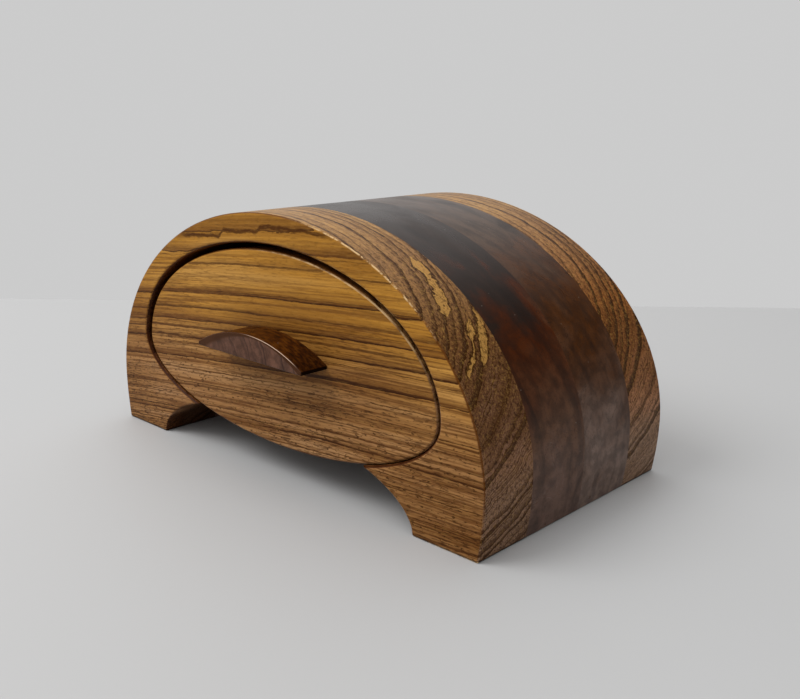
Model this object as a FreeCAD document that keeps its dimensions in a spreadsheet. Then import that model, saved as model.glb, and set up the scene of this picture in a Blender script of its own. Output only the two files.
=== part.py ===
# Oval-drawer box sawn from one laminated block: zebrawood outside, walnut in the middle.
# Frame: +Z up, +Y to the rear, origin on the floor under the middle of the whole box.
import FreeCAD, Part
import math
import os
import Sketcher
from enum import IntEnum

# Driving dimensions in millimetres: name, value, what it measures
SIZES = (
    ("width", "211", "arch across its widest part"),
    ("height", "104", "floor to crown"),
    ("waist", "21.1", "height of the widest part"),
    ("side_tuck", "1.9", "how far each side comes in from the waist to the floor"),
    ("front_board", "26.4", "thickness of the striped front board"),
    ("core_board", "31.5", "thickness of each dark board"),
    ("rear_board", "24", "thickness of the striped rear board, back panel included"),
    ("back_panel", "7", "slice sawn off the rear board and glued back on"),
    ("foot_width", "29.2", "each foot along X at the floor"),
    ("undercut_height", "25.2", "crown of the arch between the feet"),
    ("rim_side", "19.9", "front board beside the opening"),
    ("rim_top", "11.65", "front board above the opening"),
    ("opening_bottom", "13.1", "lowest point of the opening above the floor"),
    ("opening_waist", "43.4", "height of the opening's widest part"),
    ("saw_gap", "1.35", "drawer outline inside the opening's outline"),
    ("rest_gap", "0.35", "drawer above the bottom of the opening"),
    ("saw_loss", "1.2", "board lost where a drawer slice is sawn off and sanded"),
    ("drawer_recess", "1.2", "drawer face behind the front of the box"),
    ("drawer_face", "9", "slice that closes the front of the drawer"),
    ("drawer_end", "7", "slice that closes the rear of the drawer"),
    ("tub_side", "16", "drawer wall at its widest part"),
    ("tub_corner", "12", "radius between the drawer's floor and its walls"),
    ("floor_thick", "21.5", "drawer floor at its middle, hidden well included"),
    ("floor_ledge", "24.35", "drawer floor left beside the tipping floor"),
    ("hatch_thick", "4", "tipping floor board"),
    ("hatch_gap", "0.4", "play around the edge of the tipping floor"),
    ("hatch_seat", "0.2", "play under the front end of the tipping floor"),
    ("hatch_tail", "26", "tipping floor behind its pivot"),
    ("well_depth", "6.2", "hidden well under the tipping floor"),
    ("pin_radius", "1", "pivot pin"),
    ("pin_length", "12", "pivot pin"),
    ("pin_hold", "5.5", "length of a pivot pin inside the tipping floor"),
    ("pin_play", "0.05", "pivot hole around its pin"),
    ("pull_length", "61.5", "half-moon pull along X"),
    ("pull_height", "9.7", "half-moon pull at its middle"),
    ("pull_tip", "1.5", "half-moon pull at its ends"),
    ("pull_depth", "12.5", "half-moon pull in front of the drawer face"),
    ("pull_lift", "8", "underside of the pull above the drawer's widest part"),
    ("dowel_radius", "2.5", "dowels that hold the pull"),
    ("dowel_in_pull", "8", "length of a dowel inside the pull"),
    ("dowel_in_face", "6", "length of a dowel inside the drawer face"),
    ("dowel_spread", "28", "between the two dowels"),
    ("dowel_lift", "3.9", "dowels above the underside of the pull"),
    ("rim_round", "1.5", "rounded front edge of the opening"),
    ("edge_round", "0.8", "eased outer edges and feet"),
    ("face_round", "1", "rounded edge of the drawer face"),
    ("mouth_round", "1.2", "rounded top edges of the drawer walls"),
    ("pull_round", "0.6", "eased edges of the pull"),
)

# Dimensions worked out from the driving ones
FORMULAS = (
    ("arch_half", "width / 2"),
    ("arch_rise", "height - waist"),
    ("base_half", "arch_half - side_tuck"),
    ("undercut_half", "base_half - foot_width"),
    ("opening_half", "arch_half - rim_side"),
    ("opening_rise", "height - rim_top - opening_waist"),
    ("opening_drop", "opening_waist - opening_bottom"),
    ("drawer_half", "opening_half - saw_gap"),
    ("drawer_rise", "opening_rise - saw_gap"),
    ("drawer_drop", "opening_drop - saw_gap"),
    ("drawer_waist", "opening_waist - saw_gap + rest_gap"),
    ("depth", "front_board + 2 * core_board + rear_board"),
    ("pull_reach", "pull_depth - drawer_recess"),
    ("front_y", "(pull_reach - depth) / 2"),
    ("core_front_y", "front_y + front_board"),
    ("core_rear_y", "core_front_y + core_board"),
    ("rear_y", "core_rear_y + core_board"),
    ("rear_ring", "rear_board - back_panel"),
    ("back_y", "rear_y + rear_ring"),
    ("drawer_y", "front_y + drawer_recess"),
    ("tub_front", "front_board - drawer_face - saw_loss"),
    ("tub_rear", "rear_ring - drawer_end - saw_loss"),
    ("tub_front_y", "drawer_y + drawer_face"),
    ("tub_core_front_y", "tub_front_y + tub_front"),
    ("tub_core_rear_y", "tub_core_front_y + core_board"),
    ("tub_rear_y", "tub_core_rear_y + core_board"),
    ("drawer_end_y", "tub_rear_y + tub_rear"),
    ("inside_half", "drawer_half - tub_side"),
    ("inside_top", "drawer_waist + drawer_rise + saw_gap"),
    ("floor_z", "drawer_waist - drawer_drop + floor_thick"),
    ("corner_z", "floor_z + tub_corner"),
    ("hatch_z", "floor_z - hatch_thick"),
    ("seat_z", "hatch_z - hatch_seat"),
    ("well_z", "hatch_z - well_depth"),
    ("well_half", "inside_half - floor_ledge"),
    ("hatch_half", "well_half - hatch_gap"),
    ("hatch_width", "2 * hatch_half"),
    ("hatch_y", "tub_front_y + hatch_gap"),
    ("hatch_length", "drawer_end_y - tub_front_y - 2 * hatch_gap"),
    ("pivot_y", "hatch_y + hatch_length - hatch_tail"),
    ("pivot_in_board", "pivot_y - tub_core_rear_y"),
    ("pivot_z", "hatch_z + hatch_thick / 2"),
    ("pin_x", "hatch_half - pin_hold"),
    ("pin_hole_span", "2 * (pin_x + pin_length + hatch_gap)"),
    ("pin_hole_radius", "pin_radius + pin_play"),
    ("pull_half", "pull_length / 2"),
    ("pull_ease", "min(pull_round; pull_tip * 0.4)"),
    ("pull_z", "drawer_waist + pull_lift"),
    ("dowel_half", "dowel_spread / 2"),
    ("dowel_z", "pull_z + dowel_lift"),
    ("dowel_length", "dowel_in_pull + dowel_in_face"),
    ("dowel_y", "drawer_y - dowel_in_pull"),
)

TOUCHING = 0.01


class Spot(IntEnum):
    # The point of a line or arc that a sketch constraint holds
    START = 1
    END = 2
    CENTRE = 3


class Axis(IntEnum):
    # The axes of a sketch, whose origin is the first point of the level one
    LEVEL = -1
    UPRIGHT = -2


START, END, CENTRE = Spot
LEVEL, UPRIGHT = Axis
ORIGIN = LEVEL

doc = FreeCAD.newDocument("oval_drawer_box")
sheet = doc.addObject("Spreadsheet::Sheet", "sizes")
for row, (name, value, meaning) in enumerate(SIZES, 1):
    sheet.set("A%d" % row, name)
    sheet.set("B%d" % row, value)
    sheet.set("C%d" % row, meaning)
    sheet.setAlias("B%d" % row, name)
for row, (name, formula) in enumerate(FORMULAS, len(SIZES) + 1):
    sheet.set("A%d" % row, name)
    sheet.set("B%d" % row, "=" + formula)
    sheet.setAlias("B%d" % row, name)
doc.recompute()


def size(name):
    return float(sheet.get(name))


def point(x, z):
    return FreeCAD.Vector(x, z, 0)


# Sketch helpers: a sketch stands in the XZ plane, its own Y being the box's Z

def new_body(label, y_place):
    body = doc.addObject("PartDesign::Body", label)
    body.Label = label
    body.setExpression("Placement.Base.y", "sizes." + y_place)
    return body


def new_sketch(body, name, role="XZ_Plane"):
    sketch = body.newObject("Sketcher::SketchObject", body.Label + "_" + name)
    plane = [feature for feature in body.Origin.OriginFeatures if feature.Role == role][0]
    sketch.AttachmentSupport = [(plane, "")]
    sketch.MapMode = "FlatFace"
    return sketch


def tie(sketch, *constraint):
    return sketch.addConstraint(Sketcher.Constraint(*constraint))


def measure(sketch, name, *constraint, factor=1):
    index = tie(sketch, *constraint, factor * size(name))
    sketch.setExpression("Constraints[%d]" % index, "%d * sizes.%s" % (factor, name))


def half_ellipse(sketch, half, rise, centre=None):
    # Upper half of an ellipse on the upright axis, its long axis level
    height = size(centre) if centre else 0
    ellipse = Part.Ellipse(point(size(half), height), point(0, height + size(rise)), point(0, height))
    arc = sketch.addGeometry(Part.ArcOfEllipse(ellipse, 0, math.pi))
    sketch.exposeInternalGeometry(arc)
    long_axis, short_axis = arc + 1, arc + 2
    if centre:
        tie(sketch, "PointOnObject", arc, CENTRE, UPRIGHT)
        measure(sketch, centre, "DistanceY", ORIGIN, START, arc, CENTRE)
    else:
        tie(sketch, "Coincident", arc, CENTRE, ORIGIN, START)
    tie(sketch, "Horizontal", long_axis)
    tie(sketch, "PointOnObject", arc, START, long_axis)
    tie(sketch, "PointOnObject", arc, END, long_axis)
    measure(sketch, half, "Distance", long_axis, factor=2)
    measure(sketch, rise, "Distance", short_axis, factor=2)
    return arc


def oval_sketch(body, name, half, rise, drop, centre):
    # A full upper and a flatter lower half ellipse on one long axis
    sketch = new_sketch(body, name)
    upper = half_ellipse(sketch, half, rise, centre)
    height = size(centre)
    ellipse = Part.Ellipse(point(size(half), height), point(0, height + size(drop)), point(0, height))
    lower = sketch.addGeometry(Part.ArcOfEllipse(ellipse, math.pi, 2 * math.pi))
    sketch.exposeInternalGeometry(lower)
    tie(sketch, "PointOnObject", lower, CENTRE, upper + 1)
    tie(sketch, "Horizontal", lower + 1)
    tie(sketch, "Coincident", lower, START, upper, END)
    tie(sketch, "Coincident", lower, END, upper, START)
    measure(sketch, drop, "Distance", lower + 2, factor=2)
    return sketch


def opening_sketch(body):
    return oval_sketch(body, "opening", "opening_half", "opening_rise", "opening_drop", "opening_waist")


def drawer_sketch(body):
    return oval_sketch(body, "oval", "drawer_half", "drawer_rise", "drawer_drop", "drawer_waist")


def arch_sketch(body):
    # Half ellipse above the waist, a shallow arc down to the floor on each side
    sketch = new_sketch(body, "arch")
    crown = half_ellipse(sketch, "arch_half", "arch_rise", "waist")
    radius = (size("side_tuck") ** 2 + size("waist") ** 2) / (2 * size("side_tuck"))
    inset = size("arch_half") - radius
    sweep = math.asin(size("waist") / radius)
    half = size("base_half")
    floor = sketch.addGeometry(Part.LineSegment(point(-half, 0), point(half, 0)))
    for side, floor_end, crown_end in ((1, END, START), (-1, START, END)):
        circle = Part.Circle(point(side * inset, size("waist")), FreeCAD.Vector(0, 0, 1), radius)
        if side > 0:
            flank = sketch.addGeometry(Part.ArcOfCircle(circle, -sweep, 0))
            low, high = START, END
        else:
            flank = sketch.addGeometry(Part.ArcOfCircle(circle, math.pi, math.pi + sweep))
            low, high = END, START
        tie(sketch, "Coincident", flank, high, crown, crown_end)
        tie(sketch, "Coincident", flank, low, floor, floor_end)
        tie(sketch, "PointOnObject", flank, CENTRE, crown + 1)
        tie(sketch, "PointOnObject", floor, floor_end, LEVEL)
    measure(sketch, "base_half", "DistanceX", ORIGIN, START, floor, END)
    measure(sketch, "base_half", "DistanceX", floor, START, ORIGIN, START)
    return sketch


def undercut_sketch(body):
    # The low arch between the feet
    sketch = new_sketch(body, "undercut")
    crown = half_ellipse(sketch, "undercut_half", "undercut_height")
    half = size("undercut_half")
    floor = sketch.addGeometry(Part.LineSegment(point(-half, 0), point(half, 0)))
    tie(sketch, "Coincident", floor, END, crown, START)
    tie(sketch, "Coincident", floor, START, crown, END)
    return sketch


def recess_sketch(body, bottom):
    # The rectangle that holds the tipping floor, from the given height up into the drawer's hollow
    sketch = new_sketch(body, "recess")
    x, low, high = size("well_half"), size(bottom), size("corner_z")
    corners = [point(-x, low), point(x, low), point(x, high), point(-x, high)]
    edges = [sketch.addGeometry(Part.LineSegment(corners[i - 1], corners[i])) for i in range(len(corners))]
    left, floor, right, ceiling = edges
    for edge, following in zip(edges, edges[1:] + edges[:1]):
        tie(sketch, "Coincident", edge, END, following, START)
    for edge in (floor, ceiling):
        tie(sketch, "Horizontal", edge)
    for edge in (left, right):
        tie(sketch, "Vertical", edge)
    measure(sketch, "well_half", "DistanceX", floor, START, ORIGIN, START)
    measure(sketch, "well_half", "DistanceX", ORIGIN, START, floor, END)
    measure(sketch, bottom, "DistanceY", ORIGIN, START, floor, START)
    measure(sketch, "corner_z", "DistanceY", ORIGIN, START, ceiling, START)
    return sketch


def inside_sketch(body):
    # The hollow of the drawer: upright walls, round lower corners and a flat floor, open at the top
    sketch = new_sketch(body, "inside")
    x, low, high, radius = size("inside_half"), size("floor_z"), size("inside_top"), size("tub_corner")
    floor = sketch.addGeometry(Part.LineSegment(point(radius - x, low), point(x - radius, low)))
    right = sketch.addGeometry(Part.LineSegment(point(x, low + radius), point(x, high)))
    top = sketch.addGeometry(Part.LineSegment(point(x, high), point(-x, high)))
    left = sketch.addGeometry(Part.LineSegment(point(-x, high), point(-x, low + radius)))
    for side, floor_end, wall, wall_end in ((1, END, right, START), (-1, START, left, END)):
        circle = Part.Circle(point(side * (x - radius), low + radius), FreeCAD.Vector(0, 0, 1), radius)
        if side > 0:
            corner = sketch.addGeometry(Part.ArcOfCircle(circle, -math.pi / 2, 0))
            tie(sketch, "Tangent", floor, floor_end, corner, START)
            tie(sketch, "Tangent", corner, END, wall, wall_end)
        else:
            corner = sketch.addGeometry(Part.ArcOfCircle(circle, math.pi, 3 * math.pi / 2))
            tie(sketch, "Tangent", floor, floor_end, corner, END)
            tie(sketch, "Tangent", corner, START, wall, wall_end)
        measure(sketch, "tub_corner", "Radius", corner)
    tie(sketch, "Coincident", right, END, top, START)
    tie(sketch, "Coincident", top, END, left, START)
    tie(sketch, "Horizontal", top)
    tie(sketch, "Vertical", right)
    tie(sketch, "Horizontal", floor)
    measure(sketch, "inside_half", "DistanceX", ORIGIN, START, right, START)
    measure(sketch, "inside_half", "DistanceX", left, END, ORIGIN, START)
    measure(sketch, "floor_z", "DistanceY", ORIGIN, START, floor, START)
    measure(sketch, "inside_top", "DistanceY", ORIGIN, START, right, END)
    return sketch


def dowel_sketch(body, height):
    sketch = new_sketch(body, "dowel_holes")
    for side in (-1, 1):
        centre = point(side * size("dowel_half"), size(height))
        circle = sketch.addGeometry(Part.Circle(centre, FreeCAD.Vector(0, 0, 1), size("dowel_radius")))
        measure(sketch, "dowel_radius", "Radius", circle)
        measure(sketch, height, "DistanceY", ORIGIN, START, circle, CENTRE)
        if side > 0:
            measure(sketch, "dowel_half", "DistanceX", ORIGIN, START, circle, CENTRE)
        else:
            measure(sketch, "dowel_half", "DistanceX", circle, CENTRE, ORIGIN, START)
    return sketch


# Feature helpers: boards grow to the rear from their own front face

def pad(body, sketch, thickness, to_rear=True):
    feature = body.newObject("PartDesign::Pad", sketch.Label + "_pad")
    feature.Profile = sketch
    feature.Reversed = to_rear
    feature.setExpression("Length", "sizes." + thickness)
    doc.recompute()


def cut(body, sketch, depth=None, side="One side", to_rear=True):
    before = body.Shape.Volume
    feature = body.newObject("PartDesign::Pocket", sketch.Label + "_cut")
    feature.Profile = sketch
    feature.SideType = side
    feature.Reversed = not to_rear
    if depth:
        feature.Type = "Length"
        feature.setExpression("Length", "sizes." + depth)
    else:
        feature.Type = "ThroughAll"
    doc.recompute()
    if body.Shape.Volume > before - TOUCHING:
        raise RuntimeError(sketch.Label + " cuts nothing")


def round_edges(body, wanted, radius):
    base = body.Tip
    names = ["Edge%d" % index for index, edge in enumerate(base.Shape.Edges, 1) if wanted(edge)]
    if not names:
        raise RuntimeError(body.Label + " has no edge to round")
    feature = body.newObject("PartDesign::Fillet", "%s_%s" % (body.Label, radius))
    feature.Base = (base, names)
    feature.setExpression("Radius", "sizes." + radius)
    doc.recompute()


def in_plane(edge, y):
    # True where the whole edge lies at this Y
    box = edge.BoundBox
    return abs(box.YMin - y) < TOUCHING and abs(box.YMax - y) < TOUCHING


def runs_back(edge):
    # True for a straight edge along Y
    box = edge.BoundBox
    return box.XLength < TOUCHING and box.ZLength < TOUCHING


def on_floor(edge):
    return runs_back(edge) and abs(edge.BoundBox.ZMin) < TOUCHING


def on_opening(edge):
    # True where the middle of the edge lies on the opening's outline
    middle = edge.valueAt((edge.FirstParameter + edge.LastParameter) / 2)
    over = middle.z - size("opening_waist")
    reach = size("opening_rise") if over > 0 else size("opening_drop")
    return abs(math.hypot(middle.x / size("opening_half"), over / reach) - 1) < TOUCHING


def at_mouth(edge):
    # True for the top edge of an inner wall
    box = edge.BoundBox
    on_wall = abs(abs(box.XMin) - size("inside_half")) < TOUCHING
    return runs_back(edge) and on_wall and box.ZMin > size("corner_z")


# Carcass

def opening_cutter():
    # The oval hole, flaring out over a quarter round at the front face
    body = new_body("opening_cutter", "front_y")
    pad(body, opening_sketch(body), "front_board")
    pad(body, arch_sketch(body), "rim_round", to_rear=False)
    round_edges(body, lambda edge: in_plane(edge, 0) and on_opening(edge), "rim_round")
    return body


def front_slab():
    blank = new_body("front_blank", "front_y")
    pad(blank, arch_sketch(blank), "front_board")
    cut(blank, undercut_sketch(blank))
    round_edges(blank, lambda edge: on_floor(edge) or in_plane(edge, 0), "edge_round")
    slab = doc.addObject("Part::Cut", "front_slab")
    slab.Label = "front_slab"
    slab.Base = blank
    slab.Tool = opening_cutter()
    return slab


def ring_board(label, thickness, y_place):
    body = new_body(label, y_place)
    pad(body, arch_sketch(body), thickness)
    cut(body, undercut_sketch(body))
    cut(body, opening_sketch(body))
    round_edges(body, on_floor, "edge_round")
    return body


def back_panel():
    # Closes the rear: its lower edge bulges down along the opening's outline
    body = new_body("back_panel", "back_y")
    pad(body, arch_sketch(body), "back_panel")
    cut(body, undercut_sketch(body))
    pad(body, opening_sketch(body), "back_panel")
    rear = size("back_panel")
    round_edges(body, lambda edge: on_floor(edge) or in_plane(edge, rear), "edge_round")
    return body


# Drawer

def drawer_front():
    body = new_body("drawer_front", "drawer_y")
    pad(body, drawer_sketch(body), "drawer_face")
    round_edges(body, lambda edge: in_plane(edge, 0), "face_round")
    cut(body, dowel_sketch(body, "dowel_z"), "dowel_in_face")
    return body


def drawer_back():
    body = new_body("drawer_back", "drawer_end_y")
    pad(body, drawer_sketch(body), "drawer_end")
    rear = size("drawer_end")
    round_edges(body, lambda edge: in_plane(edge, rear), "edge_round")
    return body


def tub_board(label, thickness, y_place, hatch_floor):
    # One layer of the hollow drawer body, with the recess that holds the tipping floor
    body = new_body(label, y_place)
    pad(body, drawer_sketch(body), thickness)
    cut(body, inside_sketch(body))
    cut(body, recess_sketch(body, hatch_floor))
    round_edges(body, at_mouth, "mouth_round")
    return body


def pivot_holes(body):
    # A hole in each side of the well, bored outwards from the middle plane
    sketch = new_sketch(body, "pivot_hole", "YZ_Plane")
    centre = point(size("pivot_in_board"), size("pivot_z"))
    circle = sketch.addGeometry(Part.Circle(centre, FreeCAD.Vector(0, 0, 1), size("pin_hole_radius")))
    measure(sketch, "pin_hole_radius", "Radius", circle)
    measure(sketch, "pivot_in_board", "DistanceX", ORIGIN, START, circle, CENTRE)
    measure(sketch, "pivot_z", "DistanceY", ORIGIN, START, circle, CENTRE)
    cut(body, sketch, "pin_hole_span", "Symmetric")


def drawer_core_rear():
    body = tub_board("drawer_core_rear", "core_board", "tub_core_rear_y", "well_z")
    pivot_holes(body)
    return body


def drawer_pull():
    # Half-moon: flat below, one arc above, short upright ends
    body = new_body("drawer_pull", "drawer_y")
    body.setExpression("Placement.Base.z", "sizes.pull_z")
    sketch = new_sketch(body, "half_moon")
    half, tip, rise = size("pull_half"), size("pull_tip"), size("pull_height") - size("pull_tip")
    radius = (half ** 2 + rise ** 2) / (2 * rise)
    reach = math.asin(half / radius)
    base = sketch.addGeometry(Part.LineSegment(point(-half, 0), point(half, 0)))
    right = sketch.addGeometry(Part.LineSegment(point(half, 0), point(half, tip)))
    circle = Part.Circle(point(0, tip + rise - radius), FreeCAD.Vector(0, 0, 1), radius)
    brow = sketch.addGeometry(Part.ArcOfCircle(circle, math.pi / 2 - reach, math.pi / 2 + reach))
    left = sketch.addGeometry(Part.LineSegment(point(-half, tip), point(-half, 0)))
    top = sketch.addGeometry(Part.Point(point(0, tip + rise)), True)
    tie(sketch, "Coincident", base, END, right, START)
    tie(sketch, "Coincident", right, END, brow, START)
    tie(sketch, "Coincident", brow, END, left, START)
    tie(sketch, "Coincident", left, END, base, START)
    tie(sketch, "PointOnObject", base, START, LEVEL)
    tie(sketch, "PointOnObject", base, END, LEVEL)
    tie(sketch, "Vertical", right)
    tie(sketch, "Vertical", left)
    tie(sketch, "PointOnObject", top, START, UPRIGHT)
    tie(sketch, "PointOnObject", top, START, brow)
    measure(sketch, "pull_half", "DistanceX", ORIGIN, START, base, END)
    measure(sketch, "pull_half", "DistanceX", base, START, ORIGIN, START)
    measure(sketch, "pull_tip", "DistanceY", right, START, right, END)
    measure(sketch, "pull_tip", "DistanceY", left, END, left, START)
    measure(sketch, "pull_height", "DistanceY", ORIGIN, START, top, START)
    pad(body, sketch, "pull_depth", to_rear=False)
    round_edges(body, lambda edge: not in_plane(edge, 0), "pull_ease")
    cut(body, dowel_sketch(body, "dowel_lift"), "dowel_in_pull", to_rear=False)
    return body


# Round stock: pairs of dowels and pins lie at equal distances left and right

def rod(label, radius, length, axis, angle, places):
    cylinder = doc.addObject("Part::Cylinder", label)
    cylinder.setExpression("Radius", "sizes." + radius)
    cylinder.setExpression("Height", "sizes." + length)
    cylinder.Placement = FreeCAD.Placement(FreeCAD.Vector(), FreeCAD.Rotation(axis, angle))
    for direction, place in places.items():
        cylinder.setExpression("Placement.Base." + direction, place)
    return cylinder


def group(label, pieces):
    compound = doc.addObject("Part::Compound", label)
    compound.Label = label
    compound.Links = pieces
    return compound


def pull_dowels():
    sideways = FreeCAD.Vector(1, 0, 0)
    dowels = []
    for side, sign in (("left", "-"), ("right", "")):
        places = {"x": sign + "sizes.dowel_half", "y": "sizes.dowel_y", "z": "sizes.dowel_z"}
        dowels.append(rod("pull_dowel_" + side, "dowel_radius", "dowel_length", sideways, -90, places))
    return group("pull_dowels", dowels)


def pins(label):
    rearwards = FreeCAD.Vector(0, 1, 0)
    pair = []
    for side, sign, angle in (("left", "-", -90), ("right", "", 90)):
        places = {"x": sign + "sizes.pin_x", "y": "sizes.pivot_y", "z": "sizes.pivot_z"}
        pair.append(rod("%s_%s" % (label, side), "pin_radius", "pin_length", rearwards, angle, places))
    return group(label, pair)


def false_floor():
    # Thin board with a pin hole in each side edge
    board = doc.addObject("Part::Box", "floor_board")
    board.setExpression("Length", "sizes.hatch_width")
    board.setExpression("Width", "sizes.hatch_length")
    board.setExpression("Height", "sizes.hatch_thick")
    board.setExpression("Placement.Base.x", "-sizes.hatch_half")
    board.setExpression("Placement.Base.y", "sizes.hatch_y")
    board.setExpression("Placement.Base.z", "sizes.hatch_z")
    drilled = doc.addObject("Part::Cut", "false_floor")
    drilled.Label = "false_floor"
    drilled.Base = board
    drilled.Tool = pins("pin_holes")
    return drilled


sub_parts = [
    front_slab(),
    ring_board("core_board_front", "core_board", "core_front_y"),
    ring_board("core_board_rear", "core_board", "core_rear_y"),
    ring_board("rear_slab", "rear_ring", "rear_y"),
    back_panel(),
    drawer_front(),
    tub_board("drawer_slab_front", "tub_front", "tub_front_y", "seat_z"),
    tub_board("drawer_core_front", "core_board", "tub_core_front_y", "well_z"),
    drawer_core_rear(),
    tub_board("drawer_slab_rear", "tub_rear", "tub_rear_y", "well_z"),
    drawer_back(),
    drawer_pull(),
    pull_dowels(),
    false_floor(),
    pins("pivot_pins"),
]
doc.recompute()

for item in doc.Objects:
    if "Invalid" in item.State or "Error" in item.State:
        raise RuntimeError(item.Label + " failed to build")
for part in sub_parts:
    if part.Shape.isNull() or not part.Shape.isValid():
        raise RuntimeError(part.Label + " has no valid shape")

os.makedirs("parts", exist_ok=True)
for part in sub_parts:
    part.Shape.exportStep("parts/%s.step" % part.Label)
    box = part.Shape.optimalBoundingBox()
    print("%-18s %d solid(s) %9.0f mm3  x %7.2f %7.2f  y %7.2f %7.2f  z %6.2f %6.2f" % (
        part.Label, len(part.Shape.Solids), part.Shape.Volume,
        box.XMin, box.XMax, box.YMin, box.YMax, box.ZMin, box.ZMax))
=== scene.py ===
# %% [markdown]
# # An oval-drawer box in striped and dark wood
# The box is sawn from one glued block: a striped board in front, two dark boards in the middle
# and a striped board behind. The construction comes in as a fixed frame, in metres, with every
# board where it belongs. This lesson gives each board its wood, and sets the box on a pale table.

# %% Load the frame
import math
from types import SimpleNamespace

import bmesh
import bpy
from mathutils import Matrix, Quaternion, Vector

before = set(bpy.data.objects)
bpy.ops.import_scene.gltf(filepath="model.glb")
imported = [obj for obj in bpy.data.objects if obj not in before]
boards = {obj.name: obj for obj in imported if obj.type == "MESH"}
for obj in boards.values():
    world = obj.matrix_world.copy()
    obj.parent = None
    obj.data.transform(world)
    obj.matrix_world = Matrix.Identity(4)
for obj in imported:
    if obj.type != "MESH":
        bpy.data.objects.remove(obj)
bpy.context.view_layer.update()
print("boards in the frame:", ", ".join(sorted(boards)))

# %% [markdown]
# ## The camera
# The photograph was taken from the right of the drawer, a little above the crown. The place, the
# heading, the tilt and the lens below are what makes the box's own edges fall on the photographed
# ones. A camera looks along its own -Z, so a direction turned into a rotation puts it right, and a
# small roll about that axis levels it as the photographer held it.

# %% Place the camera
IMAGE_WIDTH = 800
SENSOR_WIDTH = 36.0
FOCAL_PIXELS = 958.65
CLIP_START = 0.01
CAMERA_PLACE = Vector((0.27767, -0.2753, 0.14832))
HEADING = math.radians(43.08)
TILT = math.radians(15.11)
ROLL = math.radians(0.71)

across = Vector((-math.sin(HEADING), math.cos(HEADING), 0))
gaze = across * math.cos(TILT) - Vector((0, 0, math.sin(TILT)))
camera_data = bpy.data.cameras.new("camera")
camera_data.sensor_width = SENSOR_WIDTH
camera_data.lens = SENSOR_WIDTH * FOCAL_PIXELS / IMAGE_WIDTH
camera_data.clip_start = CLIP_START
camera = bpy.data.objects.new("camera", camera_data)
camera.location = CAMERA_PLACE
camera.rotation_mode = "QUATERNION"
camera.rotation_quaternion = gaze.to_track_quat("-Z", "Y") @ Quaternion((0, 0, 1), ROLL)
bpy.context.scene.collection.objects.link(camera)
bpy.context.scene.camera = camera
print("lens", round(camera_data.lens, 2), "mm")

# %% [markdown]
# ## Nodes in a few words
# A procedural wood is a chain of nodes. It could be wired by hand in the editor, but a chain in
# words is easier to read and to change. A few helpers keep it short: they add a node and plug in
# its inputs, work out a figure, lay masks over each other, turn one range of values into another,
# and mix two colours.

# %% Helpers for node trees
def plug(tree, socket, value):
    if isinstance(value, bpy.types.NodeSocket):
        tree.links.new(value, socket)
    else:
        socket.default_value = value


def add_node(tree, kind, inputs=(), **settings):
    node = tree.nodes.new(kind)
    for name, value in settings.items():
        setattr(node, name, value)
    for name, value in dict(inputs).items():
        plug(tree, node.inputs[name], value)
    return node


def figure(tree, operation, first, second=0.0, third=0.0, clamp=False):
    node = add_node(tree, "ShaderNodeMath", operation=operation, use_clamp=clamp)
    for socket, value in zip(node.inputs, (first, second, third)):
        plug(tree, socket, value)
    return node.outputs[0]


def product(tree, first, *others):
    # Masks are laid over each other by multiplying them
    for other in others:
        first = figure(tree, "MULTIPLY", first, other)
    return first


def ramp(tree, value, low, high, to_low=0.0, to_high=1.0):
    # A value between low and high becomes one between to_low and to_high, eased at both ends
    ranges = {"From Min": low, "From Max": high, "To Min": to_low, "To Max": to_high}
    inputs = {"Value": value, **ranges}
    node = add_node(tree, "ShaderNodeMapRange", inputs, interpolation_type="SMOOTHSTEP")
    return node.outputs["Result"]


def blend(tree, share, first, second, mode="MIX"):
    node = add_node(tree, "ShaderNodeMix", data_type="RGBA", blend_type=mode)
    plug(tree, node.inputs["Factor"], share)
    plug(tree, node.inputs["A"], first)
    plug(tree, node.inputs["B"], second)
    return node.outputs["Result"]


def tone(red, green, blue):
    return (red, green, blue, 1.0)


print("helpers for node trees: plug, add_node, figure, product, ramp, blend, tone")

# %% Helpers for finishes
def new_finish(name):
    finish = bpy.data.materials.new(name)
    finish.use_nodes = True
    return finish, finish.node_tree, finish.node_tree.nodes["Principled BSDF"]


def lay_on(tree, shader, colour, roughness, relief, strength, depth):
    # Colour, roughness and a very fine relief, which is this many metres deep
    plug(tree, shader.inputs["Base Color"], colour)
    plug(tree, shader.inputs["Roughness"], roughness)
    inputs = {"Strength": strength, "Distance": depth, "Height": relief}
    bump = add_node(tree, "ShaderNodeBump", inputs)
    plug(tree, shader.inputs["Normal"], bump.outputs[0])


print("helpers for finishes: new_finish, lay_on")

# %% [markdown]
# ## The table and the light
# The box stands on a pale matt table in front of a pale wall, under soft daylight. The table ends
# where the wall begins in the photograph, and the world's grey stands for the wall behind it, so
# nothing hides the box when it is seen from another side. The daylight could come from many lamps.
# Here the world gives it by direction: bright from the left and from the ceiling, dim from the far
# right corner, so that the dark wood's right side stays deep, and grey at the horizon, so that the
# arch under the box stays dark. One large lamp at the upper left lights the front.

# %% Lay the table
TABLE_REACH = 0.677
TABLE_SIZE = 6.0
TABLE_GREY = 0.50
TABLE_ROUGHNESS = 0.6

camera_foot = Vector((CAMERA_PLACE.x, CAMERA_PLACE.y, 0))
table_middle = camera_foot + across * (TABLE_REACH - TABLE_SIZE)
lie = Matrix.Translation(table_middle) @ Matrix.Rotation(HEADING, 4, "Z")
top = bmesh.new()
bmesh.ops.create_grid(top, x_segments=1, y_segments=1, size=TABLE_SIZE, matrix=lie)
table_mesh = bpy.data.meshes.new("table")
top.to_mesh(table_mesh)
top.free()
table = bpy.data.objects.new("table", table_mesh)
bpy.context.scene.collection.objects.link(table)

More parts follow.
